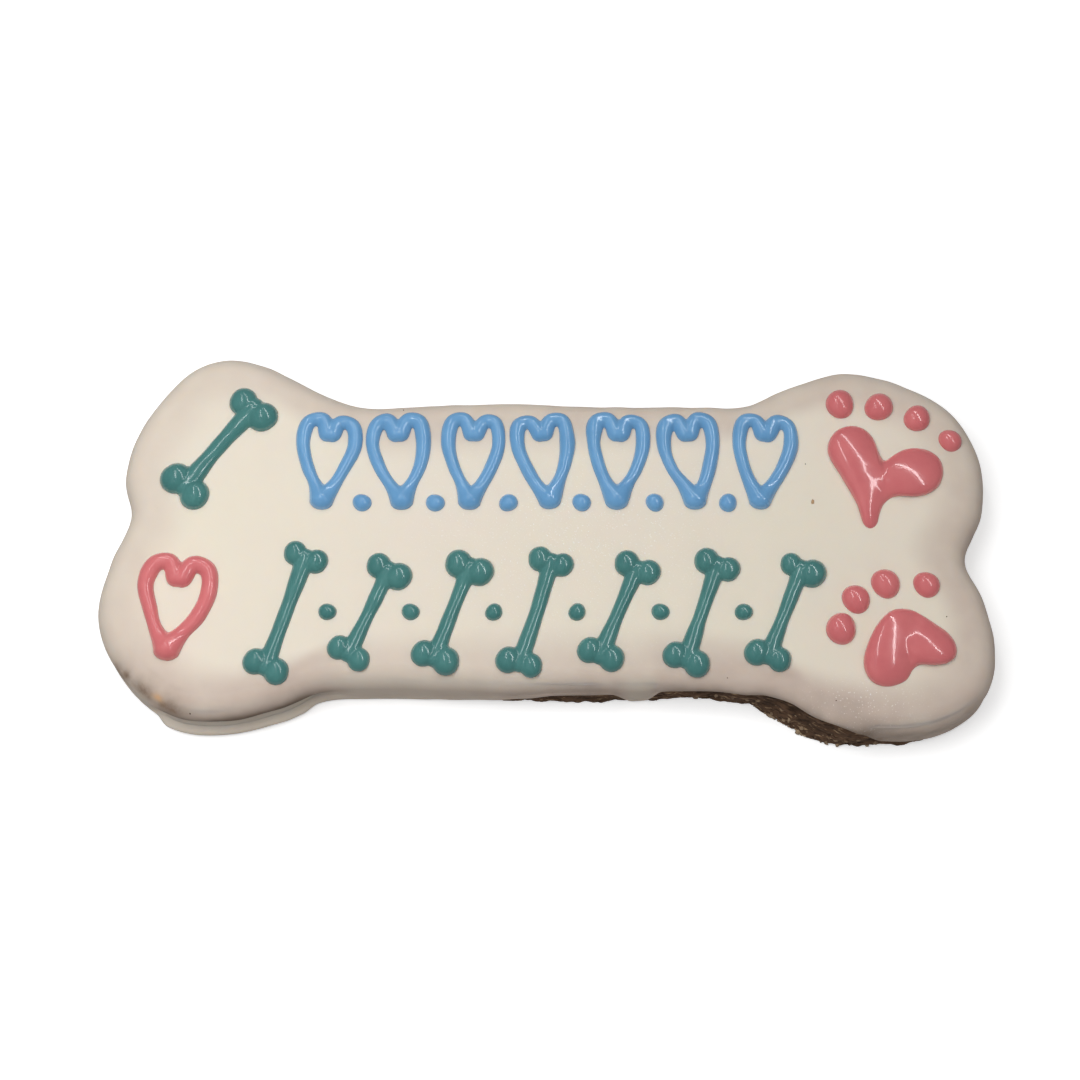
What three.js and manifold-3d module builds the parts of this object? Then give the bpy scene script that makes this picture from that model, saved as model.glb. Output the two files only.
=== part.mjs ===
// A bone-shaped dog biscuit: a thick baked bone, dipped in white icing and decorated with piped icing.
// Millimetres, +Z up. The biscuit lies flat on Z = 0, with its length along X and its paw prints at +X.
import * as THREE from "three";
import { mergeVertices } from "three/addons/utils/BufferGeometryUtils.js";
import Module from "manifold-3d";

const wasm = await Module();
wasm.setup();

// Driving dimensions of the baked bone and its coat
const BISCUIT_HEIGHT = 9.5;
const COAT_TOP = 1.5;
const COAT_SIDE = 1.5;
const GAP = 0.3;
const HEM_CLEARANCE = 0.2;
const RIM_RADIUS = 3.0;
const CROWN = 0.4;
const CROWN_HALF_WIDTH = 30;
const RIPPLE = 0.12;
const SPINE_HALF_LENGTH = 50;

// The coated bone seen from above, anticlockwise from the notch of the left end
const BONE_EDGE = [
  [-71.2, 5.0], [-74.1, -3.1], [-76.0, -10.7], [-74.7, -17.7], [-69.9, -24.8], [-62.8, -29.8],
  [-54.8, -30.9], [-45.2, -28.8], [-37.7, -25.9], [-29.4, -25.5], [-14.3, -25.8], [2.5, -26.3],
  [19.3, -26.2], [32.6, -26.6], [39.5, -28.0], [44.9, -31.2], [55.2, -33.6], [66.1, -32.3],
  [73.7, -27.3], [76.1, -19.4], [74.6, -10.0], [71.9, -3.2], [75.2, 5.2], [75.3, 14.9],
  [71.1, 23.5], [63.0, 28.6], [52.7, 31.1], [43.0, 28.5], [35.2, 25.2], [25.4, 24.9],
  [9.6, 25.0], [-6.1, 25.4], [-20.1, 25.2], [-31.4, 24.8], [-39.6, 27.6], [-48.7, 32.3],
  [-55.9, 33.7], [-62.0, 31.5], [-67.6, 25.3], [-71.4, 18.5], [-72.7, 11.1],
];

// Stations round the edge stand closer where the baked side is bare, to hold its crags
const BARE_STRETCH = [0.25, 0.42];
const FINE_STEPS = 38;
const COARSE_STEPS = 68;

// What changes round the edge, as [share of the way round, millimetres]
const HEM_HEIGHT = [
  [0.0, 1.1], [0.06, 0.9], [0.1, 0.5], [0.2, 0.6], [0.235, 2.4], [0.262, 4.2], [0.28, 4.0],
  [0.296, 0.6], [0.31, 6.0], [0.335, 7.4], [0.355, 8.5], [0.385, 8.5], [0.402, 2.4], [0.43, 1.0],
  [0.5, 1.2], [0.58, 0.8], [0.64, 2.2], [0.66, 0.9], [0.7, 1.4], [0.74, 3.4], [0.77, 1.0],
  [0.83, 2.6], [0.86, 0.8], [0.93, 1.6],
];
const FOOT_REACH = [
  [0.086, 0.0], [0.103, 1.4], [0.13, 1.2], [0.15, 1.1], [0.168, 0.0],
];
const BASE_FLARE = [
  [0.336, 0.0], [0.354, 1.2], [0.367, 3.0], [0.384, 1.3], [0.4, 0.2], [0.42, 0.0],
];

// The bare side below the hem, as [share of its height, share of its swell]
const BARE_PROFILE = [
  [0.0, 0.6], [0.1, 0.9], [0.28, 1.0], [0.46, 1.0], [0.64, 0.95], [0.82, 0.6], [1.0, 0.0],
];
const BARE_SWELL = 1.2;
const BARE_FADE = 2.0;
const CRAG_DEPTH = 1.0;
const CRAG_MIDDLE = 0.6;

// The hidden top edge of the baked bone, as [inset, drop], and the coat's ceiling over it, as insets
const TOP_EDGE = [[0, 0.9], [0.4, 0.3], [1.1, 0]];
const CEILING_INSETS = [5, 0.9];
const CEILING_DROP = 0.6;
const HEM_TURN = 0.5;

// The coat's lip above its hem, as [reach, share of the foot, climb, most of the side that it may take]
const COAT_LIP = [[0.2, 0.9, 0.25, 0.2], [0.25, 1, 1.1, 0.45], [0, 0.45, 2.1, 0.7]];
const RIM_TURNS = [1, 0.7, 0.4, 0.15];
const RIM_SHARE = 0.7;
const TOP_SHARES = [1, 0.86, 0.6, 0.3];

// Piped icing: strokes are thin and end in fat blobs, as they do where a piping bag stops
const STROKE_HALF_WIDTH = 1.3;
const STROKE_RISE = 1.0;
const SINK = 0.15;
const DOT_FOOT = 0.4;
const DOT_SIDES = 9;
const DOT_ARCH = [0, 0.5, 1];
const ARCH_FACETS = 4;
const CAP_STEPS = [0, 0.75];
const TOLERANCE = 0.04;

// The upper row is of open hearts with blue beads between their tips
const HEART_PITCH = 12.5;
const HEART_Y = 14.1;
const HEART_SIZE = [8.7, 15.4];
const HEART_TILTS = [-5, 4, -3, 6, -2, 5, -6];
const BLUE_BEAD = { y: 6.3, radius: 1.6 };

// The lower row is of leaning bones with green beads between them
const BONE_X = -43.6;
const BONE_PITCH = 14;
const BONE_Y = -12.9;
const BONE_LENGTHS = [24, 20, 21, 22.5, 20.5, 21.5, 20.5];
const BONE_TILTS = [-18, -24, -20, -17, -23, -19, -22];
const KNOB_RADIUS = 2.15;
const KNOB_SPREAD = 1.95;
const GREEN_BEAD_RADIUS = 1.5;

// One large bone and one large heart lie at the left
const LARGE_BONE = { x: -56, y: 16.3, length: 23, tilt: -38, thickness: 1.15 };
const LARGE_HEART = { x: -62.4, y: -11.7, size: [10.8, 15.8], tilt: -7, thickness: 1.15 };

// Each paw print at the right is a heart-shaped pad of two fat strokes under an arc of four toes.
// A pad's strokes are [x, y, half width], and a toe is [x, y, radius].
const PAD_RISE = 0.62;
const TOE_RISE = 0.8;
const PAW_PRINTS = {
  upper: {
    pad: [
      [[53.0, 16.0, 4.3], [53.9, 12.3, 4.1], [54.9, 8.1, 2.7], [55.7, 4.2, 1.65]],
      [[63.9, 12.0, 4.2], [61.0, 11.4, 3.9], [57.4, 9.1, 3.0]],
    ],
    toes: [[50.9, 24.6, 2.5], [57.7, 23.7, 2.4], [64.2, 21.6, 2.3], [69.7, 17.6, 1.95]],
  },
  lower: {
    pad: [
      [[60.0, -16.1, 3.9], [58.3, -19.1, 4.05], [57.3, -21.7, 3.95]],
      [[60.0, -16.1, 3.9], [63.5, -17.6, 3.4], [67.0, -19.7, 2.3]],
    ],
    toes: [[49.6, -15.8, 2.6], [52.4, -10.7, 2.4], [57.6, -7.9, 2.5], [64.4, -8.1, 2.2]],
  },
};

const PIPING_BLUE = 0x6ba6d6;
const PIPING_GREEN = 0x3f8a84;
const PIPING_PINK = 0xd4717b;
const ICING_WHITE = 0xe9e0cf;
const CRUMB_BROWN = 0x5e4636;

const finish = (color, roughness) => new THREE.MeshStandardMaterial({ color, roughness, metalness: 0 });
const materials = {
  icing: finish(ICING_WHITE, 0.45),
  crumb: finish(CRUMB_BROWN, 0.9),
  blue: finish(PIPING_BLUE, 0.3),
  green: finish(PIPING_GREEN, 0.3),
  pink: finish(PIPING_PINK, 0.3),
};

// Small number helpers: counting, smooth steps, a value that changes round the edge, and repeatable roughness
const count = (n) => Array.from({ length: n }, (_, i) => i);

const smooth = (t) => {
  const c = THREE.MathUtils.clamp(t, 0, 1);
  return c * c * (3 - 2 * c);
};

function roundEdge(table) {
  return (u) => {
    const after = table.findIndex(([at]) => at > u);
    const next = Math.max(after, 0);
    const [a, low] = table.at(next - 1);
    const [b, high] = table[next];
    const span = (b - a + 1) % 1;
    return low + (high - low) * smooth(((u - a + 1) % 1) / span);
  };
}

function crag(i, k) {
  const raw = Math.sin(i * 127.1 + k * 311.7) * 43758.5453;
  return raw - Math.floor(raw);
}

// The top of the coat: a low crown across the bone with a slow ripple
const topHeight = (x, y) =>
  BISCUIT_HEIGHT + COAT_TOP + CROWN * (1 - (y / CROWN_HALF_WIDTH) ** 2) + RIPPLE * Math.sin(x / 9 + y / 14);

// The stations' shares of the way round, in order
function stationShares() {
  const [from, to] = BARE_STRETCH;
  const fine = count(FINE_STEPS).map((i) => from + ((to - from) * i) / FINE_STEPS);
  const coarse = count(COARSE_STEPS).map((i) => to + ((1 - to + from) * i) / COARSE_STEPS);
  return [...fine, ...coarse].map((u) => u % 1);
}

// The edge as stations, each with its point, outward direction and local values
function edgeStations() {
  const knots = BONE_EDGE.map(([x, y]) => new THREE.Vector3(x, y, 0));
  const curve = new THREE.CatmullRomCurve3(knots, true, "centripetal");
  curve.arcLengthDivisions = 2000;
  const [hemAt, footAt, flareAt] = [HEM_HEIGHT, FOOT_REACH, BASE_FLARE].map(roundEdge);
  const shares = stationShares();
  return shares.map((u, i) => {
    const at = curve.getPointAt(u);
    const along = curve.getTangentAt(u);
    const near = [shares.at(i - 1), u, shares[(i + 1) % shares.length]].map(hemAt);
    return {
      i,
      x: at.x,
      y: at.y,
      nx: along.y,
      ny: -along.x,
      hem: hemAt(u),
      bareTop: Math.min(...near) - HEM_CLEARANCE,
      foot: footAt(u),
      flare: flareAt(u),
    };
  });
}

const stations = edgeStations();

// A closed ring: every station moved out by offset, at a height
const ring = (offset, height) =>
  stations.map((s) => {
    const d = offset(s);
    return [s.x + s.nx * d, s.y + s.ny * d, height(s)];
  });

// A ring drawn in towards the bone's spine, on the crowned top
function innerRing(outer, share, lift) {
  return outer.map(([x, y]) => {
    const spine = THREE.MathUtils.clamp(x, -SPINE_HALF_LENGTH, SPINE_HALF_LENGTH);
    const px = spine + (x - spine) * share;
    const py = y * share;
    return [px, py, topHeight(px, py) + lift];
  });
}

const geometryOf = (position, index) =>
  new THREE.BufferGeometry()
    .setAttribute("position", new THREE.Float32BufferAttribute(position, 3))
    .setIndex(index);

// Rings joined in order, with the first and last ones closed by flat caps
function loft(rings) {
  const around = rings[0].length;
  const index = [];
  for (let k = 0; k + 1 < rings.length; k++)
    for (let i = 0; i < around; i++) {
      const [a, b] = [k * around + i, k * around + ((i + 1) % around)];
      index.push(a, b, b + around, a, b + around, a + around);
    }
  const cap = (points, first, turned) => {
    const outline = points.map(([x, y]) => new THREE.Vector2(x, y));
    for (const [a, b, c] of THREE.ShapeUtils.triangulateShape(outline, []))
      index.push(first + a, first + (turned ? c : b), first + (turned ? b : c));
  };
  cap(rings[0], 0, true);
  cap(rings.at(-1), (rings.length - 1) * around, false);
  return geometryOf(rings.flat(2), index);
}

// Sections of a tube joined in order, with the first and last ones each welded to one point
function tube(position, sides) {
  const last = position.length / 3 - sides;
  const weld = (v) => (v < sides ? 0 : Math.min(v, last));
  const index = [];
  const face = (...corners) => {
    const welded = corners.map(weld);
    if (new Set(welded).size === 3) index.push(...welded);
  };
  for (let k = 0; k < last; k += sides)
    for (let j = 0; j < sides; j++) {
      const [a, b] = [k + j, k + ((j + 1) % sides)];
      face(a, a + sides, b + sides);
      face(a, b + sides, b);
    }
  return geometryOf(position, index);
}

// Geometry to solid and back
function toSolid(geometry) {
  const bare = geometry.clone().deleteAttribute("normal").deleteAttribute("uv");
  const merged = mergeVertices(bare, 1e-4);
  const vertProperties = new Float32Array(merged.attributes.position.array);
  const triVerts = new Uint32Array(merged.index.array);
  return new wasm.Manifold(new wasm.Mesh({ numProp: 3, vertProperties, triVerts }));
}

function toMesh(name, solid, material) {
  const data = solid.simplify(TOLERANCE).getMesh();
  const geometry = geometryOf(data.vertProperties, [...data.triVerts]);
  geometry.computeVertexNormals();
  const mesh = new THREE.Mesh(geometry, material);
  mesh.name = name;
  return mesh;
}

const union = (solids) => wasm.Manifold.union(solids);

// The baked bone: straight where the coat hides it, and swollen and craggy where it is bare below the hem
function biscuitSolid() {
  const bare = (share, swell, k) => {
    const offset = (s) => {
      const rough = CRAG_DEPTH * (crag(s.i, k) - CRAG_MIDDLE);
      const full = BARE_SWELL + s.flare * (1 - share) + rough;
      return -COAT_SIDE + swell * Math.min(1, s.bareTop / BARE_FADE) * full;
    };
    return ring(offset, (s) => share * s.bareTop);
  };
  const hidden = ([inset, drop]) => ring(() => -COAT_SIDE - inset, () => BISCUIT_HEIGHT - drop);
  return toSolid(
    loft([
      bare(0, 0, 0),
      ...BARE_PROFILE.map(([share, swell], k) => bare(share, swell, k)),
      ...TOP_EDGE.map(hidden),
    ]),
  );
}

// The outside of the coat from its hem to its middle; lift grows it evenly, to make a cutter
function coatOutside(lift) {
  const fall = (s) => Math.min(RIM_RADIUS, (topHeight(s.x, s.y) - s.hem) * RIM_SHARE);
  const side = (s) => topHeight(s.x, s.y) - fall(s) - s.hem;
  const lip = COAT_LIP.map(([reach, share, climb, most]) =>
    ring(
      (s) => lift + reach + share * s.foot,
      (s) => s.hem + Math.min(climb, most * side(s)),
    ),
  );
  const rim = RIM_TURNS.map((t) => {
    const angle = (t * Math.PI) / 2;
    return ring(
      () => lift - RIM_RADIUS * (1 - Math.sin(angle)),
      (s) => topHeight(s.x, s.y) + lift - fall(s) * (1 - Math.cos(angle)),
    );
  });
  const level = ring(() => lift - RIM_RADIUS, (s) => topHeight(s.x, s.y) + lift);
  const inner = TOP_SHARES.map((share) => innerRing(level, share, lift));
  return [...lip, ...rim, ...inner];
}

// The coat: its outside, turned in at the hem and closed by a ceiling that clears the biscuit
function coatSolid() {
  const inside = -COAT_SIDE + GAP;
  const ceiling = () => BISCUIT_HEIGHT + GAP;
  return toSolid(
    loft([
      ...CEILING_INSETS.map((inset) => ring(() => inside - inset, ceiling)),
      ring(() => inside, () => BISCUIT_HEIGHT - CEILING_DROP),
      ring(() => inside, (s) => Math.min(s.hem + HEM_TURN, BISCUIT_HEIGHT - CEILING_DROP - HEM_CLEARANCE)),
      ring(() => -HEM_TURN, (s) => s.hem),
      ...coatOutside(0),
    ]),
  );
}

// The lump that piped icing lies on, grown by the gap, to cut its underside
function coatCutter() {
  const rings = coatOutside(GAP);
  return toSolid(loft([rings[0].map(([x, y]) => [x, y, -1]), ...rings]));
}

// A piped stroke: an arch carried along a smooth path of [x, y, half width], rounded off at both ends
function stroke(path, steps, rise = STROKE_RISE) {
  const curve = new THREE.CatmullRomCurve3(path.map((p) => new THREE.Vector3(...p)));
  const position = [];
  const section = (t, share, shift) => {
    const at = curve.getPoint(t);
    const along = curve.getTangent(t).setZ(0).normalize();
    const [x, y] = [at.x + along.x * shift * at.z, at.y + along.y * shift * at.z];
    for (let j = 0; j <= ARCH_FACETS; j++) {
      const angle = (Math.PI * j) / ARCH_FACETS;
      const out = at.z * share * Math.cos(angle);
      const up = at.z * share * rise * Math.sin(angle);
      position.push(x + along.y * out, y - along.x * out, topHeight(x, y) - SINK + up);
    }
  };
  const bulge = (share) => Math.sqrt(1 - share * share);
  CAP_STEPS.forEach((share) => section(0, share, -bulge(share)));
  for (let i = 0; i <= steps; i++) section(i / steps, 1, 0);
  CAP_STEPS.toReversed().forEach((share) => section(1, share, bulge(share)));
  return toSolid(tube(position, ARCH_FACETS + 1));
}

// A single squeeze of icing: a low round dome on a short foot sunk in the coat
function dot(x, y, radius, rise = STROKE_RISE) {
  const arch = DOT_ARCH.map((share) => {
    const angle = (share * Math.PI) / 2;
    return new THREE.Vector2(share < 1 ? radius * Math.cos(angle) : 0, radius * rise * Math.sin(angle));
  });
  const foot = [new THREE.Vector2(0, -DOT_FOOT), new THREE.Vector2(radius, -DOT_FOOT)];
  const dome = new THREE.LatheGeometry([...foot, ...arch], DOT_SIDES).rotateX(Math.PI / 2);
  return toSolid(dome.translate(x, y, topHeight(x, y) - SINK));
}

// Moves a motif's own [x, y, ...] to its place, turned by a tilt in degrees
function placer({ x, y, tilt }) {
  const turn = THREE.MathUtils.degToRad(tilt);
  const [c, s] = [Math.cos(turn), Math.sin(turn)];
  return ([px, py, ...rest]) => [x + c * px - s * py, y + s * px + c * py, ...rest];
}

// An open heart: two strokes start in its notch and meet in a blob at its tip, as [x, y, thickness] shares
const HEART_HALF = [
  [0.05, 0.28, 1.35], [0.2, 0.46, 1], [0.42, 0.43, 1], [0.5, 0.2, 1], [0.38, -0.08, 0.95],
  [0.2, -0.3, 1], [0.02, -0.46, 1.55],
];

function pipedHeart({ size: [width, height], thickness = 1, ...at }) {
  const place = placer(at);
  const half = (side) =>
    HEART_HALF.map(([x, y, share]) =>
      place([side * x * width, y * height, share * thickness * STROKE_HALF_WIDTH]),
    );
  return union([stroke(half(1), 10), stroke(half(-1), 10)]);
}

// A small bone: one thin bar with two round knobs at each end
function pipedBone({ length, thickness = 1, ...at }) {
  const place = placer(at);
  const reach = length / 2 - KNOB_RADIUS * thickness;
  const bar = [-1, 0, 1].map((end) =>
    place([0, end * reach, thickness * STROKE_HALF_WIDTH * (1 + 0.25 * end * end)]),
  );
  const knobs = [[-1, -1], [1, -1], [-1, 1], [1, 1]].map(([side, end]) => {
    const [x, y] = place([side * KNOB_SPREAD * thickness, end * reach]);
    return dot(x, y, KNOB_RADIUS * thickness);
  });
  return union([stroke(bar, 4), ...knobs]);
}

const pipedPad = (strokes) => union(strokes.map((path) => stroke(path, 7, PAD_RISE)));

// Beads and toes are fused to the coat
const heartX = (i) => (i - (HEART_TILTS.length - 1) / 2) * HEART_PITCH;
const boneX = (i) => BONE_X + i * BONE_PITCH;
const gapsOf = (row) => count(row.length - 1).map((i) => i + 0.5);
const dots = [
  ...gapsOf(HEART_TILTS).map((i) => dot(heartX(i), BLUE_BEAD.y, BLUE_BEAD.radius)),
  ...gapsOf(BONE_TILTS).map((i) => dot(boneX(i), BONE_Y, GREEN_BEAD_RADIUS)),
  ...Object.values(PAW_PRINTS).flatMap(({ toes }) => toes.map((toe) => dot(...toe, TOE_RISE))),
];

// The larger motifs lie on the coat, each a piece of its own
const cutter = coatCutter();
const lying = (name, solid, material) => toMesh(name, solid.subtract(cutter), material);

const dogBiscuit = new THREE.Group();
dogBiscuit.add(
  toMesh("biscuit", biscuitSolid(), materials.crumb),
  toMesh("icing_coat", union([coatSolid(), ...dots]), materials.icing),
  ...Object.entries(PAW_PRINTS).map(([place, { pad }]) =>
    lying(`${place}_paw_pad`, pipedPad(pad), materials.pink),
  ),
  lying("large_bone", pipedBone(LARGE_BONE), materials.green),
  lying("large_heart", pipedHeart(LARGE_HEART), materials.pink),
  ...HEART_TILTS.map((tilt, i) =>
    lying(`heart_${i + 1}`, pipedHeart({ x: heartX(i), y: HEART_Y, size: HEART_SIZE, tilt }), materials.blue),
  ),
  ...BONE_TILTS.map((tilt, i) =>
    lying(
      `bone_${i + 1}`,
      pipedBone({ x: boneX(i), y: BONE_Y, length: BONE_LENGTHS[i], tilt }),
      materials.green,
    ),
  ),
);

export default dogBiscuit;
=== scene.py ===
"""A bone-shaped dog biscuit: baked brown dough, dipped in off-white icing, with piped icing on top."""

import bpy
import numpy as np
from mathutils import Matrix, Vector


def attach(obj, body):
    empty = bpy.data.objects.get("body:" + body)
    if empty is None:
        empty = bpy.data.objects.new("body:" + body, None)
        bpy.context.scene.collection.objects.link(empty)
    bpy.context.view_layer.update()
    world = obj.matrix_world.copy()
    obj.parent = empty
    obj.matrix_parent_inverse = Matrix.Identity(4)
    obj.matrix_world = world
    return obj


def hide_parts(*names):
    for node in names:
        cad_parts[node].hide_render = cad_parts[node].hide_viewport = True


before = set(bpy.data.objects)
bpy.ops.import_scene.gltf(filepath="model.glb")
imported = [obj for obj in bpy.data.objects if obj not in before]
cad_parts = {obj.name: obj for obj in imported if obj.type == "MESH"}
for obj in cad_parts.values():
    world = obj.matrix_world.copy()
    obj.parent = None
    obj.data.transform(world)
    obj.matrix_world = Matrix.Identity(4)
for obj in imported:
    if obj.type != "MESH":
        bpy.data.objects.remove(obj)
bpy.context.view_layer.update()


# The baked biscuit: a slab of brown wholegrain dough, cut to a bone with a cutter and baked hard and dry.
# Its underside is bare and flat. Its side is bare too where the icing stops short of the base, and there
# the dough shows crags, fine streaks and small hollows. Sizes are in millimetres.
MM = 0.001
# The bone's edge as [x, y], from the left end round the near side. Tables that go round the edge have the
# share of the way along this line first.
BONE_EDGE = [
    [-71.2, 5.0], [-74.1, -3.1], [-76.0, -10.7], [-74.7, -17.7], [-69.9, -24.8], [-62.8, -29.8],
    [-54.8, -30.9], [-45.2, -28.8], [-37.7, -25.9], [-29.4, -25.5], [-14.3, -25.8], [2.5, -26.3],
    [19.3, -26.2], [32.6, -26.6], [39.5, -28.0], [44.9, -31.2], [55.2, -33.6], [66.1, -32.3],
    [73.7, -27.3], [76.1, -19.4], [74.6, -10.0], [71.9, -3.2], [75.2, 5.2], [75.3, 14.9],
    [71.1, 23.5], [63.0, 28.6], [52.7, 31.1], [43.0, 28.5], [35.2, 25.2], [25.4, 24.9],
    [9.6, 25.0], [-6.1, 25.4], [-20.1, 25.2], [-31.4, 24.8], [-39.6, 27.6], [-48.7, 32.3],
    [-55.9, 33.7], [-62.0, 31.5], [-67.6, 25.3], [-71.4, 18.5], [-72.7, 11.1],
]
# Round the edge: how high the icing's hem is, how far the dough's base stands out, and how far the coat
# is drawn in.
HEM_HEIGHT = [
    [0.0, 1.1], [0.06, 0.9], [0.1, 0.5], [0.2, 0.6], [0.235, 2.0], [0.25, 3.6], [0.266, 5.6],
    [0.287, 6.0], [0.2965, 0.6], [0.302, 1.2], [0.308, 7.4], [0.335, 8.0], [0.355, 8.5], [0.385, 8.5],
    [0.394, 7.4], [0.404, 3.4], [0.416, 2.1], [0.43, 1.5], [0.45, 1.0], [0.58, 0.8], [0.64, 2.2],
    [0.66, 0.9], [0.7, 1.4], [0.74, 3.4], [0.77, 1.0], [0.83, 2.6], [0.86, 0.8], [0.93, 1.6],
]
BASE_LINE = [
    [0.0, -0.9], [0.22, -0.9], [0.25, -0.35], [0.3, -0.35], [0.312, -0.95], [0.345, -0.6], [0.3545, 0.85],
    [0.3625, 1.3], [0.37, 0.8], [0.387, 0.65], [0.394, 0.2], [0.402, -0.3], [0.424, -0.35], [0.438, -0.9],
]
COAT_INSET = [
    [0.15, 0.0], [0.19, 0.2], [0.24, 0.1], [0.27, 0.5], [0.3, 0.45], [0.312, 0.75], [0.328, 0.75],
    [0.342, 0.5], [0.352, 0.85], [0.37, 1.15], [0.38, 1.0], [0.395, 0.5], [0.415, 0.4], [0.435, 0.1],
    [0.46, 0.0],
]
BISCUIT_HEIGHT = 9.5
COAT_SIDE = 1.5
BARE_STRETCH = [0.22, 0.43]
KNOT_STEPS = 64
BARE_STEPS = 680
OTHER_STEPS = 420
SIDE_ROWS = 60
UNDERSIDE_ROWS = [10, 5]
SLAB_TOP_ROWS = [4, 2]
MIDDLE_OVAL = [48, 9]
CRAGS_FULL_AT = 2.0
CRAGS_FADE_OVER = 0.3
BARE_ABOVE_HEM = 0.7
HEM_COVER = 0.2
BASE_ROUNDING = 0.35
# Sizes of noise, as [a cell of its lattice, how far it stands out].
CRAG_SIZES = [[3.2, 0.26], [1.4, 0.24], [0.6, 0.13]]
STRATA_SIZES = [[0.9, 0.20], [0.45, 0.14]]
STRATA_DRAWN = 0.22
SLOPE_REACH = 0.001
HASH_FACTORS = np.array([73856093, 19349663, 83492791])
SEED_FACTOR = 40503
MIXING_FACTOR = 1274126177


def smooth_step(t):
    """A rise from 0 to 1 that starts and ends level: three t squared less two t cubed."""
    t = np.clip(t, 0, 1)
    return t * t * (3 - 2 * t)


def hand_curve(knots, steps, closed=False):
    """A centripetal Catmull-Rom curve: a cubic between each two knots, whose slopes come from the knots
    on either side, spaced by the square root of the distances between them."""
    knots = np.asarray(knots, float)
    if closed:
        p = np.concatenate([knots[-1:], knots, knots[:2]])
    else:
        p = np.concatenate([2 * knots[:1] - knots[1:2], knots, 2 * knots[-1:] - knots[-2:-1]])
    gap = np.linalg.norm(np.diff(p, axis=0), axis=1)[:, None] ** 0.5
    a, b, c = gap[:-2], gap[1:-1], gap[2:]
    p0, p1, p2, p3 = p[:-3], p[1:-2], p[2:-1], p[3:]
    leave = ((p1 - p0) / a - (p2 - p0) / (a + b) + (p2 - p1) / b) * b
    reach = ((p2 - p1) / b - (p3 - p1) / (b + c) + (p3 - p2) / c) * b
    t = np.linspace(0, 1, steps, endpoint=False)[None, :, None]
    p1, p2, leave, reach = (v[:, None] for v in (p1, p2, leave, reach))
    cubic = (2 * p1 - 2 * p2 + leave + reach) * t**3 + (3 * p2 - 3 * p1 - 2 * leave - reach) * t**2
    line = (cubic + leave * t + p1).reshape(-1, knots.shape[1])
    return np.concatenate([line, knots[:1] if closed else knots[-1:]])


def round_edge(table, share):
    """A value that changes round the edge: smooth steps between its [share of the way, value] pairs."""
    at, value = np.array(table, float).T
    at = np.concatenate([at[-1:] - 1, at, at[:1] + 1])
    value = np.concatenate([value[-1:], value, value[:1]])
    k = np.clip(np.searchsorted(at, share, side="right") - 1, 0, len(at) - 2)
    return value[k] + (value[k + 1] - value[k]) * smooth_step((share - at[k]) / (at[k + 1] - at[k]))


edge_line = hand_curve(BONE_EDGE, KNOT_STEPS, closed=True)
edge_length = np.concatenate([[0], np.cumsum(np.linalg.norm(np.diff(edge_line, axis=0), axis=1))])


def edge_point(share):
    """Points of the bone's edge at shares of its length."""
    way = share % 1 * edge_length[-1]
    return np.stack([np.interp(way, edge_length, edge_line[:, k]) for k in (0, 1)], -1)


def edge_outward(share):
    """The edge's outward directions: its own direction turned by a quarter."""
    along = edge_point(share + SLOPE_REACH) - edge_point(share - SLOPE_REACH)
    along /= np.linalg.norm(along, axis=-1, keepdims=True)
    return np.stack([along[..., 1], -along[..., 0]], -1)


def lattice_noise(points, cell, seed):
    """Value noise from -1 to 1: a random number at each corner of a lattice of cubes with sides of one
    cell, blended by smooth steps in between. A corner's number is a hash of its place and the seed."""
    place = np.asarray(points, float) / cell
    corner = np.floor(place).astype(np.int64)
    part = smooth_step(place - corner)
    total = np.zeros(place.shape[:-1])
    for step in np.ndindex(2, 2, 2):
        key = (corner + step) @ HASH_FACTORS + seed * SEED_FACTOR
        key = (key ^ (key >> 13)) * MIXING_FACTOR
        value = ((key ^ (key >> 16)) & 0xFFFF) / 0x7FFF - 1
        total += value * np.prod(np.where(step, part, 1 - part), axis=-1)
    return total


def stacked(*parts):
    """Coordinates put together as points, or corners as faces."""
    return np.stack(np.broadcast_arrays(*parts), -1)


def lifted(flat, z):
    """Flat points put at a height."""
    return stacked(flat[..., 0], flat[..., 1], z)


def add_object(name, data):
    """A new object in the scene, with its mesh, lamp or lens."""
    added = bpy.data.objects.new(name, data)
    bpy.context.scene.collection.objects.link(added)
    return added


def closed_surface(name, grids):
    """A mesh of one or more closed surfaces. Each is a grid of rows that run right round, and its first
    and last rows close to a pole at their middle. Millimetres become metres here."""
    points, faces, start = [], [], 0
    for grid in grids:
        rows, around = grid.shape[:2]
        points += [grid[0].mean(0)[None], grid.reshape(-1, 3), grid[-1].mean(0)[None]]
        ring = start + 1 + np.arange(rows * around).reshape(rows, around)
        ahead = np.roll(ring, -1, axis=1)
        quads = stacked(ring[:-1], ahead[:-1], ahead[1:], ring[1:]).reshape(-1, 4)
        first = stacked(start, ahead[0], ring[0])
        last = stacked(ring[-1], ahead[-1], ring[-1, -1] + 1)
        faces += quads.tolist() + first.tolist() + last.tolist()
        start += rows * around + 2
    mesh = bpy.data.meshes.new(name)
    mesh.from_pydata(np.concatenate(points) * MM, [], faces)
    mesh.polygons.foreach_set("use_smooth", np.ones(len(faces), bool))
    return add_object(name, mesh)


def set_attribute(piece, name, grid):
    """Gives a piece of one surface a number at each point, from a grid like its own."""
    values = np.concatenate([[grid[0].mean()], grid.ravel(), [grid[-1].mean()]])
    attribute = piece.data.attributes.new(name, "FLOAT", "POINT")
    attribute.data.foreach_set("value", values.astype(np.float32))


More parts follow.
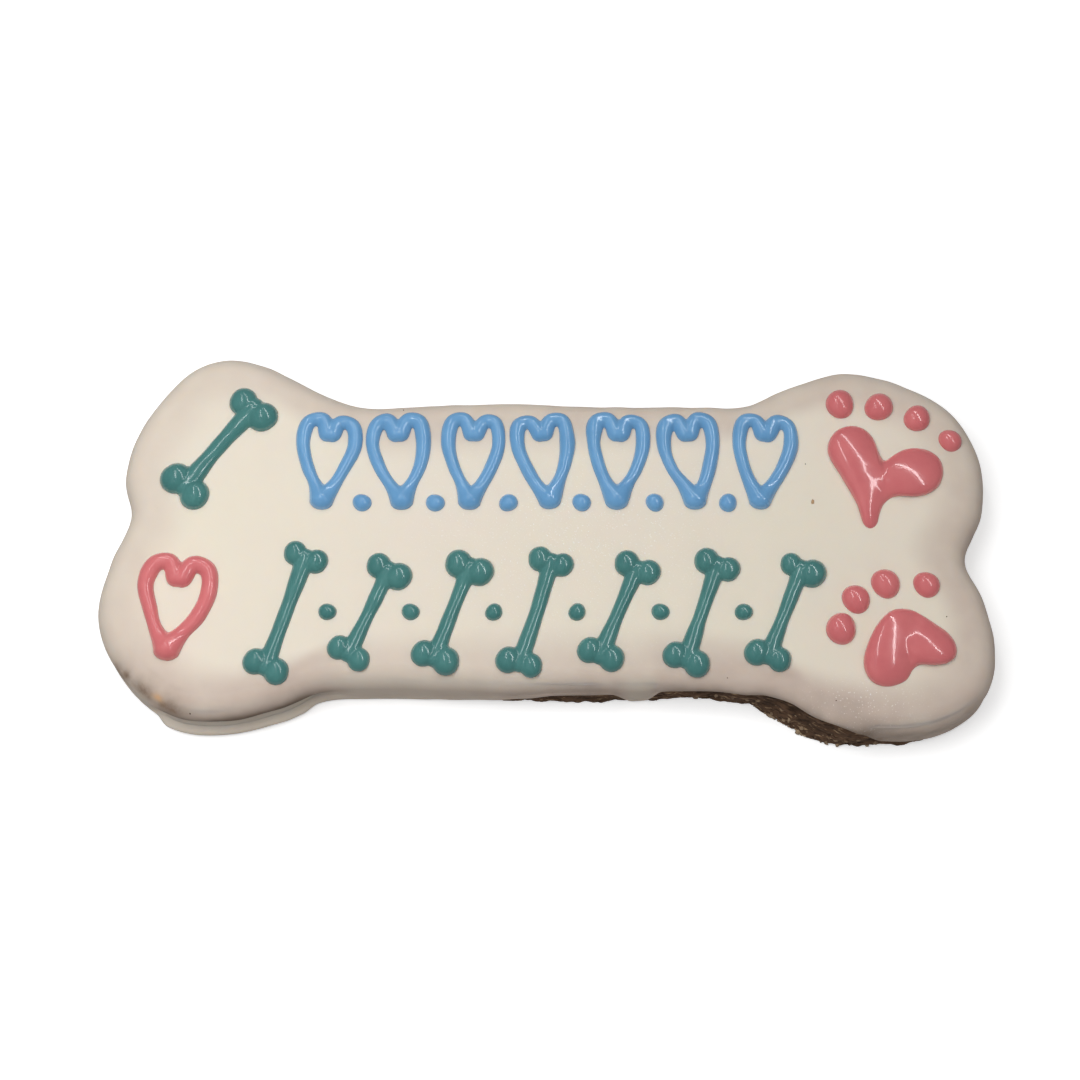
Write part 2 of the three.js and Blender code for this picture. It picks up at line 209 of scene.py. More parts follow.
def bare_side(share, z):
    """Points of the dough's side, and how far its crags stand out. The side leans from its own line at the
    base to just inside the icing's wall at the hem, and falls back to the slab's side above it. Its crags
    are three sizes of noise, and strata, which are noise drawn out along the edge."""
    top = round_edge(HEM_HEIGHT, share) + BARE_ABOVE_HEM
    level = np.clip(z / top, 0, 1)
    shown = np.minimum(1, top / CRAGS_FULL_AT) * smooth_step((1 - level) / CRAGS_FADE_OVER)
    lean = round_edge(BASE_LINE, share) * (1 - level) - (round_edge(COAT_INSET, share) + HEM_COVER) * level
    point = edge_point(share)
    place = lifted(point, z)
    crag = sum(size * lattice_noise(place, cell, k) for k, (cell, size) in enumerate(CRAG_SIZES))
    way = stacked(share % 1 * edge_length[-1] * STRATA_DRAWN, z, 0)
    crag += sum(size * lattice_noise(way, cell, k) for k, (cell, size) in enumerate(STRATA_SIZES, 5))
    rounding = BASE_ROUNDING * np.clip(1 - z / BASE_ROUNDING, 0, 1) ** 2
    offset = shown * (COAT_SIDE + lean + crag) - COAT_SIDE - rounding
    return lifted(point + edge_outward(share) * offset[..., None], z), shown * crag


def drawn_in(ring, share, rows):
    """Rows inside a ring: it turns into a small oval round the middle, and the oval then shrinks to it."""
    angle = np.pi * (1 + 2 * share)
    oval = stacked(MIDDLE_OVAL[0] * np.cos(angle), MIDDLE_OVAL[1] * np.sin(angle))
    outer, inner = rows
    to_oval = np.linspace(0, 1, outer + 1)[1:, None, None]
    to_middle = np.linspace(1, 0, inner + 2)[1:-1, None, None]
    return np.concatenate([ring[None, :, :2] * (1 - to_oval) + oval * to_oval, oval * to_middle])


biscuit_shares = np.concatenate([
    np.linspace(*BARE_STRETCH, BARE_STEPS, endpoint=False),
    np.linspace(BARE_STRETCH[1], 1 + BARE_STRETCH[0], OTHER_STEPS, endpoint=False) % 1,
])
side_heights = np.linspace(0, BISCUIT_HEIGHT, SIDE_ROWS)[:, None]
biscuit_side, side_crags = bare_side(np.tile(biscuit_shares, (SIDE_ROWS, 1)), side_heights)
underside = lifted(drawn_in(biscuit_side[0], biscuit_shares, UNDERSIDE_ROWS)[::-1], 0.0)
biscuit_top = lifted(drawn_in(biscuit_side[-1], biscuit_shares, SLAB_TOP_ROWS), BISCUIT_HEIGHT)
baked_biscuit = closed_surface("baked_biscuit", [np.concatenate([underside, biscuit_side, biscuit_top])])
hollows = [0 * underside[..., 0], side_crags, 0 * biscuit_top[..., 0]]
set_attribute(baked_biscuit, "crag", np.concatenate(hollows))

CRUMB_DARK = (0.042, 0.024, 0.015, 1)
CRUMB_BROWN = (0.152, 0.088, 0.053, 1)
CRUMB_TAN = (0.44, 0.30, 0.18, 1)
CRUMB_PALE = (0.25, 0.158, 0.10, 1)


def add_node(tree, kind, inputs, **settings):
    """A shader node with its settings. Each input, by name or number, gets a value or another's socket."""
    node = tree.nodes.new(kind)
    for name, value in settings.items():
        setattr(node, name, value)
    for name, value in inputs.items():
        if isinstance(value, bpy.types.NodeSocket):
            tree.links.new(value, node.inputs[name])
        else:
            node.inputs[name].default_value = value
    return node


def calculate(tree, operation, *values, clamp=False):
    """One step of arithmetic on numbers or sockets."""
    inputs = dict(enumerate(values))
    return add_node(tree, "ShaderNodeMath", inputs, operation=operation, use_clamp=clamp).outputs[0]


def scaled(tree, value, times, plus, clamp=False):
    """A value times one number plus another, held from 0 to 1 when it is clamped."""
    return calculate(tree, "MULTIPLY_ADD", value, times, plus, clamp=clamp)


def read_attribute(tree, name):
    """A number that the mesh holds at each point."""
    return add_node(tree, "ShaderNodeAttribute", {}, attribute_name=name).outputs["Fac"]


def blend_colours(tree, factor, first, second):
    """The first colour turning into the second as the factor goes from 0 to 1."""
    inputs = {0: factor, 6: first, 7: second}
    return add_node(tree, "ShaderNodeMix", inputs, data_type="RGBA").outputs[2]


def noise_of_size(tree, size, detail, stretch=(1, 1, 1)):
    """Noise on Object coordinates whose patches are about one size, in millimetres."""
    place = add_node(tree, "ShaderNodeTexCoord", {}).outputs["Object"]
    drawn = add_node(tree, "ShaderNodeMapping", {"Vector": place, "Scale": stretch}).outputs[0]
    scale = calculate(tree, "DIVIDE", 1 / MM, size)
    inputs = {"Vector": drawn, "Scale": scale, "Detail": detail}
    return add_node(tree, "ShaderNodeTexNoise", inputs).outputs[0]


def new_group(name, inputs, outputs):
    """A shader node group with named sockets, and its input and output nodes."""
    group = bpy.data.node_groups.new(name, "ShaderNodeTree")
    for socket, kind, value in inputs:
        made = group.interface.new_socket(socket, in_out="INPUT", socket_type=kind)
        made.default_value = value
    for socket, kind in outputs:
        group.interface.new_socket(socket, in_out="OUTPUT", socket_type=kind)
    return group, group.nodes.new("NodeGroupInput").outputs, group.nodes.new("NodeGroupOutput").inputs


def soft_mottle_group():
    """Two colours that drift into each other in soft patches of one size, sharper with more contrast."""
    group, given, result = new_group(
        "soft_mottle",
        [
            ("Size", "NodeSocketFloat", 10.0),
            ("Contrast", "NodeSocketFloat", 2.0),
            ("First", "NodeSocketColor", (1, 1, 1, 1)),
            ("Second", "NodeSocketColor", (0, 0, 0, 1)),
        ],
        [("Color", "NodeSocketColor"), ("Mask", "NodeSocketFloat")],
    )
    drift = calculate(group, "SUBTRACT", noise_of_size(group, given["Size"], detail=3.0), 0.5)
    mask = scaled(group, drift, times=given["Contrast"], plus=0.5, clamp=True)
    group.links.new(blend_colours(group, mask, given["First"], given["Second"]), result["Color"])
    group.links.new(mask, result["Mask"])
    return group


soft_mottle = soft_mottle_group()


def place_group(tree, group, inputs):
    """A node group placed in a material with its own values."""
    return add_node(tree, "ShaderNodeGroup", inputs, node_tree=group).outputs


def mottled(tree, size, contrast, first, second):
    """The soft mottle placed in a material, with its patches' size in millimetres and its two colours."""
    inputs = {"Size": size, "Contrast": contrast, "First": first, "Second": second}
    return place_group(tree, soft_mottle, inputs)


def new_material(name, constants):
    """A Principled material, with numbers that are the same all over it set on the shader's own sockets."""
    material = bpy.data.materials.new(name)
    material.use_nodes = True
    shader = material.node_tree.nodes["Principled BSDF"]
    for socket, value in constants.items():
        shader.inputs[socket].default_value = value
    return material, material.node_tree, shader


def bump_surface(tree, shader, height, strength=1.0, distance=MM):
    """Bumps a material's surface by a height that is counted in the distance."""
    bump = add_node(tree, "ShaderNodeBump", {"Strength": strength, "Distance": distance, "Height": height})
    tree.links.new(bump.outputs[0], shader.inputs["Normal"])


def crumb_material():
    """Baked dough: brown patches, over hollows kept dark as painted shade where the crags dip, with tan
    streaks of bran and dark ones between them, and a dry grainy surface. It is paler on the underside."""
    material, tree, shader = new_material("baked_crumb", {"Roughness": 0.88, "Specular IOR Level": 0.3})
    patches = mottled(tree, size=2.6, contrast=3.0, first=CRUMB_DARK, second=CRUMB_BROWN)
    # Painted shade: the crags' hollows keep the dark patches and their raised parts turn brown.
    raised_unshaded = scaled(tree, read_attribute(tree, "crag"), times=1.6, plus=0.35, clamp=True)
    hollow_shaded = blend_colours(tree, raised_unshaded, patches["Color"], CRUMB_BROWN)
    facing = add_node(tree, "ShaderNodeNewGeometry", {}).outputs["Normal"]
    upward = add_node(tree, "ShaderNodeSeparateXYZ", {0: facing}).outputs["Z"]
    under = calculate(tree, "MULTIPLY", upward, -1.0, clamp=True)
    base = mottled(tree, size=9.0, contrast=2.0, first=CRUMB_BROWN, second=CRUMB_PALE)
    coloured = blend_colours(tree, under, hollow_shaded, base["Color"])
    strata = noise_of_size(tree, size=0.7, detail=3.0, stretch=(0.4, 0.4, 1.4))
    gaps = scaled(tree, strata, times=-9.0, plus=4.1, clamp=True)
    streaked = blend_colours(tree, gaps, coloured, CRUMB_DARK)
    bran = scaled(tree, strata, times=8.0, plus=-4.7, clamp=True)
    tree.links.new(blend_colours(tree, bran, streaked, CRUMB_TAN), shader.inputs["Base Color"])
    grain = noise_of_size(tree, size=0.4, detail=4.0, stretch=(0.5, 0.5, 1.4))
    bump_surface(tree, shader, grain, strength=0.8, distance=0.25 * MM)
    return material


baked_crumb = crumb_material()
baked_biscuit.data.materials.append(baked_crumb)
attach(baked_biscuit, "root")
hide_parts("biscuit")


# Flakes of oat and bran in the dough: pale chips, a few as large as a lentil's half and most much smaller,
# baked into the bare side. They are half sunk and lie along the surface, and the large ones stand out.
FLAKE_COUNT = 110
FLAKE_STRETCH = [0.25, 0.402]
FLAKE_SIZES = [0.10, 0.62]
MOSTLY_SMALL = 4
# Where the small ones lie along the edge and how high, as [middle, spread].
FLAKE_SHARES = [0.362, 0.03]
FLAKE_HEIGHTS = [0.4, 2.4]
# The large ones, as [share of the way round, height, size].
LARGE_FLAKES = [
    [0.3558, 0.6, 0.8], [0.3575, 0.3, 0.55], [0.3695, 0.6, 0.75], [0.371, 0.35, 0.5], [0.382, 0.5, 0.45],
    [0.3865, 0.6, 0.5], [0.3915, 0.6, 0.5], [0.3985, 0.8, 0.55], [0.3315, 3.0, 0.5], [0.364, 3.2, 0.45],
]
FLAKE_COLOUR = (0.50, 0.365, 0.235, 1)
FLAKE_DARK = (0.17, 0.105, 0.066, 1)
FLAKE_STANDS_OUT = 0.2
FLAKE_FACES_UP = 0.45
CHIP_STEPS = 8
CHIP_ROW_ANGLES = [-55, -15, 25, 60]
CHIP_UNEVEN = [0.75, 1.2]
CHIP_WIDTH = 0.7
CHIP_THICKNESS = 0.32


def chips(centres, normals, sizes, rng):
    """Small flat lumps. Each is a lens of rows and steps round, made uneven by random radii, then turned
    about its normal, laid on it and moved to its centre."""
    turn = np.linspace(0, 2 * np.pi, CHIP_STEPS, endpoint=False)
    rise = np.radians(CHIP_ROW_ANGLES)[:, None]
    size = sizes[:, None, None]
    uneven = rng.uniform(*CHIP_UNEVEN, (len(sizes), rise.size, turn.size))
    flat = np.cos(rise) * uneven * size
    long, wide = flat * np.cos(turn), flat * np.sin(turn) * CHIP_WIDTH
    thick = np.broadcast_to(size * CHIP_THICKNESS * np.sin(rise), long.shape)
    spin = rng.normal(size=(len(sizes), 3))
    first = np.cross(normals, spin)
    first /= np.linalg.norm(first, axis=1, keepdims=True)
    second = np.cross(normals, first)
    laid = sum(
        part[..., None] * axis[:, None, None]
        for part, axis in ((long, first), (wide, second), (thick, normals))
    )
    return laid + centres[:, None, None]


flake_rng = np.random.default_rng(seed=7)
flake_shares = np.clip(flake_rng.normal(*FLAKE_SHARES, FLAKE_COUNT), *FLAKE_STRETCH)
smallest, largest = FLAKE_SIZES
flake_sizes = smallest + (largest - smallest) * flake_rng.uniform(size=FLAKE_COUNT) ** MOSTLY_SMALL
flake_heights = np.abs(flake_rng.normal(*FLAKE_HEIGHTS, FLAKE_COUNT))
flakes = np.concatenate([stacked(flake_shares, flake_heights, flake_sizes), LARGE_FLAKES])
flake_shares, flake_heights, flake_sizes = flakes.T
flake_heights = np.maximum(flake_heights, flake_sizes)
flake_at, _ = bare_side(flake_shares, flake_heights)
flake_facing = np.concatenate([edge_outward(flake_shares), np.full((len(flakes), 1), FLAKE_FACES_UP)], 1)
flake_facing /= np.linalg.norm(flake_facing, axis=1, keepdims=True)
flake_at[FLAKE_COUNT:] += FLAKE_STANDS_OUT * flake_facing[FLAKE_COUNT:] * flake_sizes[FLAKE_COUNT:, None]
oat_flakes = closed_surface("oat_flakes", chips(flake_at, flake_facing, flake_sizes, flake_rng))


def oat_material(name, pale, brown):
    """Toasted oat: a pale colour that browns in patches, dry and slightly rough."""
    material, tree, shader = new_material(name, {"Roughness": 0.75})
    toasted = mottled(tree, size=1.6, contrast=2.6, first=pale, second=brown)
    tree.links.new(toasted["Color"], shader.inputs["Base Color"])
    grain = noise_of_size(tree, size=0.2, detail=2.0)
    bump_surface(tree, shader, grain, strength=0.5, distance=0.1 * MM)
    return material


oat_flakes.data.materials.append(oat_material("toasted_oat", FLAKE_COLOUR, FLAKE_DARK))
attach(oat_flakes, "root")


# The icing coat: off-white icing that the biscuit was dipped in, top down. It rolls over the rim, runs
# down the sides to an uneven hem, and has pooled to a foot on the tray at one corner. It has set hard.
COAT_TOP = 1.5
CROWN = 0.4
CROWN_HALF_WIDTH = 30
RIPPLE = 0.12
RIPPLE_LENGTHS = [9, 14]
RIM_RADIUS = 4.2
RIM_SHARE = 0.7
# Round the edge: how far the foot reaches out, and how far the wall above it is pinched in.
FOOT_REACH = [[0.092, 0.0], [0.099, 0.95], [0.13, 0.65], [0.155, 0.6], [0.163, 0.0]]
FOOT_PINCH = [[0.088, 0.0], [0.1, 1.1], [0.152, 1.4], [0.182, 0.0]]
# Heights above the hem: where the foot and the pinch start or end, as [from, over how much], and the lip,
# as [middle, spread].
FOOT_FALL = [1.0, 1.4]
PINCH_FROM = [1.4, 0.9]
PINCH_TO = [2.4, 4.6]
LIP_AT = [0.9, 0.8]
LIP_REACH = 0.25
HEM_ROUND = 0.5
HEM_OUT = 0.15
CEILING_CLEARANCE = 0.2
COAT_STEPS = 740
HEM_ROWS, WALL_ROWS, RIM_ROWS = 8, 18, 16
TOP_ROWS = [38, 14]
CEILING_ROWS = [3, 2]
RUN_STRETCH = 0.35
RUNS_FULL_AT = 2.0
RUN_SIZES = [[7.0, 0.16], [3.2, 0.09]]
WAVE_SIZES = [[17.0, 0.07], [8.0, 0.035]]
HEM_WAVER = [2.6, 0.22]
# Marks, as [share of the way round, how far inside the top's edge, or below it as less than nothing,
# length, width, strength].
BROWN_MARK_SPOTS = [
    [0.0735, -3.2, 2.2, 1.8, 0.9], [0.0766, -1.9, 1.2, 1.0, 1.0], [0.0878, -1.6, 3.0, 1.2, 0.9],
    [0.1008, -1.8, 3.0, 1.3, 1.0], [0.1294, -4.2, 1.0, 0.7, 0.4], [0.3905, -2.6, 1.7, 0.7, 0.4],
    [0.4015, -5.4, 1.4, 0.6, 0.4],
]
TOASTED_SPOTS = [[0.0945, -1.1, 1.0, 0.45, 1.1]]
# Round the edge: how much the icing browns over the rim, and on the wall, partly because it is thin there
# and partly as painted shade where they turn from the light.
RIM_THIN_AND_SHADE = [
    [0.0, 0.38], [0.045, 0.5], [0.085, 0.72], [0.12, 0.8], [0.155, 0.95], [0.185, 0.5], [0.25, 0.4],
    [0.29, 0.55], [0.345, 0.65], [0.385, 0.82], [0.43, 0.84], [0.49, 0.73], [0.56, 0.66], [0.6, 0.56],
    [0.86, 0.56], [0.9, 0.4], [0.97, 0.34],
]
WALL_THIN_AND_SHADE = [
    [0.0, 0.35], [0.085, 0.45], [0.1, 0.15], [0.15, 0.15], [0.17, 0.4], [0.3, 0.42], [0.345, 0.45],
    [0.385, 0.75], [0.43, 0.95], [0.49, 0.95], [0.56, 0.8], [0.62, 0.4], [0.86, 0.36], [0.97, 0.3],
]
THIN_AND_SHADE_REACH = 8.0
RIM_THIN_AND_SHADE_WITH_HEM = 0.035
WALL_THIN_AND_SHADE_WITH_HEM = 0.15
# The crease over the foot, as [how far inside the top's edge, spread], and how deep the painted shade
# is that browns the icing in it.
CREASE_AT = [-4.6, 2.3]
CREASE_SHADE = 1.6
# Patches of sugar grains that carry painted glints, as [x, y, length, width].
SUGAR_GLINT_SPOTS = [[6.0, 0.6, 26.0, 15.0], [54.0, -28.0, 8.0, 4.0]]


def coat_top(x, y):
    """Height of the icing's top: a low crown across the bone, a slow ripple, and two sizes of wave."""
    crown = CROWN * (1 - (y / CROWN_HALF_WIDTH) ** 2)
    ripple = RIPPLE * np.sin(x / RIPPLE_LENGTHS[0] + y / RIPPLE_LENGTHS[1])
    wave = sum(size * lattice_noise(stacked(x, y, 0 * x), cell, seed=11) for cell, size in WAVE_SIZES)
    return BISCUIT_HEIGHT + COAT_TOP + crown + ripple + wave


def bump_at(height, centre, spread):
    """A smooth bump of 1 at its centre that dies away over its spread."""
    return np.exp(-(((height - centre) / spread) ** 2))


def coat_grid(share):
    """The coat's surface in rows: its hidden ceiling and inner wall, a half round at the hem, the outer
    wall, a quarter round at the rim, and the top drawn in to the middle. With it, how far each point of
    the top lies inside the rim, or how far one of the side lies below the top, as less than nothing."""
    point, out = edge_point(share), edge_outward(share)
    hem = round_edge(HEM_HEIGHT, share)
    cell, waver = HEM_WAVER
    hem = hem + waver * lattice_noise(lifted(point, 0), cell, seed=21) * smooth_step(hem)
    inset = point - RIM_RADIUS * out
    top = coat_top(inset[:, 0], inset[:, 1])
    fall = np.minimum(RIM_RADIUS, (top - hem) * RIM_SHARE)
    turn = np.linspace(np.pi, 2 * np.pi, HEM_ROWS)[:, None]
    hem_rows = HEM_OUT - HEM_ROUND + HEM_ROUND * np.cos(turn), hem + HEM_ROUND * (1 + np.sin(turn))
    climb = np.linspace(0, 1, WALL_ROWS + 1)[1:, None]
    start = hem + HEM_ROUND
    wall_rows = HEM_OUT * (1 - climb), start + (top - fall - start) * climb
    turn = np.linspace(0, np.pi / 2, RIM_ROWS + 1)[1:, None]
    rim_rows = RIM_RADIUS * (np.cos(turn) - 1), top + fall * (np.sin(turn) - 1)
    rows = [stacked(*np.broadcast_arrays(*part, share)[:2]) for part in (hem_rows, wall_rows, rim_rows)]
    offset, z = np.concatenate(rows).transpose(2, 0, 1)
    above = z - hem
    foot = round_edge(FOOT_REACH, share) * (1 - smooth_step((above - FOOT_FALL[0]) / FOOT_FALL[1]))
    pinch = smooth_step((above - PINCH_FROM[0]) / PINCH_FROM[1])
    pinch *= round_edge(FOOT_PINCH, share) * (1 - smooth_step((above - PINCH_TO[0]) / PINCH_TO[1]))
    lip = LIP_REACH * bump_at(above, *LIP_AT)
    place = lifted(point, z * RUN_STRETCH)
    runs = sum(size * lattice_noise(place, cell, seed=31) for cell, size in RUN_SIZES)
    outer = np.clip(1 + offset / RIM_RADIUS, 0, 1)
    bulge = lip + foot - pinch - round_edge(COAT_INSET, share) + runs * smooth_step(above / RUNS_FULL_AT)
    offset = offset + outer * bulge
    outside = lifted(point + out * offset[..., None], z)
    middle = drawn_in(outside[-1], share, TOP_ROWS)
    middle = lifted(middle, coat_top(middle[..., 0], middle[..., 1]))
    inner = point - (COAT_SIDE - CEILING_CLEARANCE) * out
    ceiling = np.concatenate([inner[None], drawn_in(inner, share, CEILING_ROWS)])[::-1]
    ceiling = lifted(ceiling, BISCUIT_HEIGHT + CEILING_CLEARANCE)
    inside = [0 * ceiling[..., 0], z - top, np.linalg.norm((middle - outside[-1])[..., :2], axis=-1)]
    return np.concatenate([ceiling, outside, middle]), np.concatenate(inside)


coat_shares = np.arange(COAT_STEPS) / COAT_STEPS
coat_points, coat_inside = coat_grid(coat_shares)
icing_coat = closed_surface("dipped_icing", [coat_points])
for name, spots in (("brown_marks", BROWN_MARK_SPOTS), ("toasted", TOASTED_SPOTS)):
    spot_share, spot_inside, spot_long, spot_wide, spot_strength = np.array(spots).T
    spot_way = (coat_shares[:, None] - spot_share) * edge_length[-1] / spot_long
    spot_across = (coat_inside[..., None] - spot_inside) / spot_wide
    strength = spot_strength * np.exp(-(spot_way**2) - spot_across**2)
    set_attribute(icing_coat, name, strength.max(axis=-1))
hem_heights = round_edge(HEM_HEIGHT, coat_shares)
below = smooth_step(-coat_inside / RIM_RADIUS)
over_rim = (1 - smooth_step(coat_inside / THIN_AND_SHADE_REACH)) * (1 - below)
# Painted shade: the browning over the rim and down the wall is partly thin icing and partly shade painted
# where they turn from the light.
rim_thin_and_shade = round_edge(RIM_THIN_AND_SHADE, coat_shares) + RIM_THIN_AND_SHADE_WITH_HEM * hem_heights
wall_thin_and_shade = round_edge(WALL_THIN_AND_SHADE, coat_shares) + WALL_THIN_AND_SHADE_WITH_HEM * hem_heights
# Painted shade: the icing in the crease over the foot is browned and darkened where shade falls in the
# groove.
crease_shade = CREASE_SHADE * (round_edge(FOOT_PINCH, coat_shares) * bump_at(coat_inside, *CREASE_AT))
set_attribute(icing_coat, "thin_and_shade", rim_thin_and_shade * over_rim + wall_thin_and_shade * below + crease_shade)
coat_x, coat_y = coat_points[..., :1], coat_points[..., 1:2]
# Painted glints: how strongly each sugar patch shows them.
spot_x, spot_y, spot_long, spot_wide = np.array(SUGAR_GLINT_SPOTS).T
sugar_glints = np.exp(-(((coat_x - spot_x) / spot_long) ** 2) - ((coat_y - spot_y) / spot_wide) ** 2)
set_attribute(icing_coat, "sugar_glints", sugar_glints.max(axis=-1))

ICING_WHITE = (0.81, 0.73, 0.63, 1)
ICING_CREAM = (0.81, 0.745, 0.625, 1)
# Painted shade: these two browns darken thin icing, and also the rims, walls and crease where shade falls.
ICING_THIN_AND_SHADED = (0.60, 0.495, 0.425, 1)
ICING_SHEER_AND_SHADED = (0.20, 0.147, 0.112, 1)
ICING_MARK_BROWN = (0.255, 0.172, 0.122, 1)
ICING_TOASTED = (0.70, 0.43, 0.245, 1)
ICING_SUGAR_GLINT = (0.93, 0.90, 0.85, 1)
PINHOLE_SPACING = 3.1


def set_icing_group():
    """Relief of set icing, in millimetres: slow waves, a fine grain of sugar, and pinholes left by burst
    bubbles, which are dents round the points of a cell pattern."""
    group, given, result = new_group(
        "set_icing_relief",
        [
            ("Wave Size", "NodeSocketFloat", 4.0),
            ("Wave", "NodeSocketFloat", 0.02),
            ("Grain", "NodeSocketFloat", 0.004),
            ("Pinholes", "NodeSocketFloat", 0.03),
        ],
        [("Height", "NodeSocketFloat"), ("Grain Mask", "NodeSocketFloat")],
    )
    wave = calculate(group, "MULTIPLY", noise_of_size(group, given["Wave Size"], detail=2.0), given["Wave"])
    grain = noise_of_size(group, size=0.22, detail=2.0)
    waved = scaled(group, grain, times=given["Grain"], plus=wave)
    place = add_node(group, "ShaderNodeTexCoord", {}).outputs["Object"]
    cells = add_node(group, "ShaderNodeTexVoronoi", {"Vector": place, "Scale": 1 / (PINHOLE_SPACING * MM)})
    dent = scaled(group, cells.outputs["Distance"], times=-16.0, plus=1.0, clamp=True)
    depth = calculate(group, "MULTIPLY", dent, given["Pinholes"])
    group.links.new(calculate(group, "SUBTRACT", waved, depth), result["Height"])
    group.links.new(grain, result["Grain Mask"])
    return group


set_icing_relief = set_icing_group()


def icing_material():
    """Off-white icing: white and cream drift into each other. It browns over the rim and down the wall,
    partly where it is thin and partly as painted shade where they turn from the light, and turns dark brown
    where it is thinnest and the painted shade deepest, on the short wall over the bare dough and in the
    crease. It is brown in a few spots and toasted in one, and grains of sugar stand out in two patches as
    painted glints."""
    constants = {
        "Subsurface Weight": 0.35,
        "Subsurface Radius": (1.0, 0.75, 0.5),
        "Subsurface Scale": 1.2 * MM,
        "IOR": 1.45,
        "Specular IOR Level": 0.12,
    }
    material, tree, shader = new_material("off_white_icing", constants)
    tone = mottled(tree, size=22.0, contrast=2.5, first=ICING_WHITE, second=ICING_CREAM)
    patchy = scaled(tree, noise_of_size(tree, size=5.0, detail=2.0), times=0.7, plus=0.65)
    # Painted shade: the icing browns where it is thin and where shade falls on rims, walls and the crease,
    # and the deepest of it turns dark brown.
    thin_and_shade = calculate(tree, "MULTIPLY", read_attribute(tree, "thin_and_shade"), patchy)
    sheer_and_deep_shade = calculate(tree, "SUBTRACT", thin_and_shade, 1.0, clamp=True)
    browned_and_shaded = blend_colours(tree, thin_and_shade, tone["Color"], ICING_THIN_AND_SHADED)
    coloured = blend_colours(tree, sheer_and_deep_shade, browned_and_shaded, ICING_SHEER_AND_SHADED)
    uneven = scaled(tree, noise_of_size(tree, size=1.1, detail=2.0), times=1.0, plus=0.4)
    for name, colour in (("brown_marks", ICING_MARK_BROWN), ("toasted", ICING_TOASTED)):
        strength = calculate(tree, "MULTIPLY", read_attribute(tree, name), uneven, clamp=True)
        coloured = blend_colours(tree, strength, coloured, colour)
    # Painted glints: near-white specks in the sugar patches stand in for light caught by the grains, over a
    # little real relief.
    glint_grains = scaled(tree, noise_of_size(tree, size=0.3, detail=1.0), times=9.0, plus=-5.8, clamp=True)
    glints = calculate(tree, "MULTIPLY", glint_grains, read_attribute(tree, "sugar_glints"))
    tree.links.new(blend_colours(tree, glints, coloured, ICING_SUGAR_GLINT), shader.inputs["Base Color"])
    relief = place_group(
        tree, set_icing_relief, {"Wave Size": 5.0, "Wave": 0.05, "Grain": 0.008, "Pinholes": 0.02}
    )
    dullness = scaled(tree, relief["Grain Mask"], times=0.16, plus=0.46)
    tree.links.new(dullness, shader.inputs["Roughness"])
    bump_surface(tree, shader, scaled(tree, glints, times=0.03, plus=relief["Height"]))
    return material


icing_coat.data.materials.append(icing_material())
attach(icing_coat, "root")
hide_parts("icing_coat")


# Stray bits on top: a few tiny brown crumbs of dough that stuck to the icing while it was wet, and one
# larger chip of pale oat. Places are [x, y, size].
STRAY_CRUMBS = [
    [44.7, 13.3, 0.13], [11.4, 5.6, 0.12], [67.5, -13.7, 0.14], [48.4, -28.0, 0.14],
    [-58.9, -30.2, 0.16], [30.4, -24.2, 0.12], [-24.5, 23.2, 0.13],
]
STRAY_OAT = [[45.7, 6.5, 0.42]]
STRAY_OAT_COLOUR = (0.66, 0.45, 0.27, 1)
STRAY_OAT_BROWN = (0.42, 0.25, 0.13, 1)
pale_oat = oat_material("pale_oat", STRAY_OAT_COLOUR, STRAY_OAT_BROWN)
stray_rng = np.random.default_rng(seed=3)
for name, places, material in (
    ("stray_crumbs", STRAY_CRUMBS, baked_crumb),
    ("stray_oat", STRAY_OAT, pale_oat),
):
    stray_x, stray_y, stray_sizes = np.array(places).T
    stray_at = stacked(stray_x, stray_y, coat_top(stray_x, stray_y))
    upward = np.tile([0.0, 0.0, 1.0], (len(places), 1))
    stray_piece = closed_surface(name, chips(stray_at, upward, stray_sizes, stray_rng))
    stray_piece.data.materials.append(material)
    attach(stray_piece, "root")


# The row of open hearts: blue icing squeezed from a bag with a round tip, in two strokes for each heart.
# They start in its notch and meet in a blob at its tip. The strokes are soft arches that fused as they set.
STROKE_HALF_WIDTH = 1.3
STROKE_RISE = 0.92
STROKE_SINK = 0.15
STROKE_DEPTH = 0.5
STROKE_SIDES = 24
STROKE_STEPS = 14
STROKE_UNEVEN = [2.8, 0.08]
CAP_ROWS = 7
CAP_START = 0.12
MELD_VOXEL = 0.16
MELD_SMOOTHING = 14
HAND_WANDER = [0.2, 0.2, 0.07]
HEART_X = -37.5
HEART_PITCH = 12.5
HEART_Y = 14.1
HEART_SIZE = [8.7, 15.4]
HEART_TILTS = [-5, 4, -3, 6, -2, 5, -6]
# The right half's path as [x, y, thickness], for a heart that is one wide and one high.
HEART_HALF = [
    [0.05, 0.31, 1.2], [0.2, 0.46, 1], [0.42, 0.43, 1.05], [0.5, 0.2, 1], [0.38, -0.08, 0.9],
    [0.2, -0.3, 0.95], [0.02, -0.46, 1.55],
]
PIPING_BLUE = (0.165, 0.385, 0.655, 1)
PIPING_BLUE_DEEP = (0.140, 0.345, 0.605, 1)


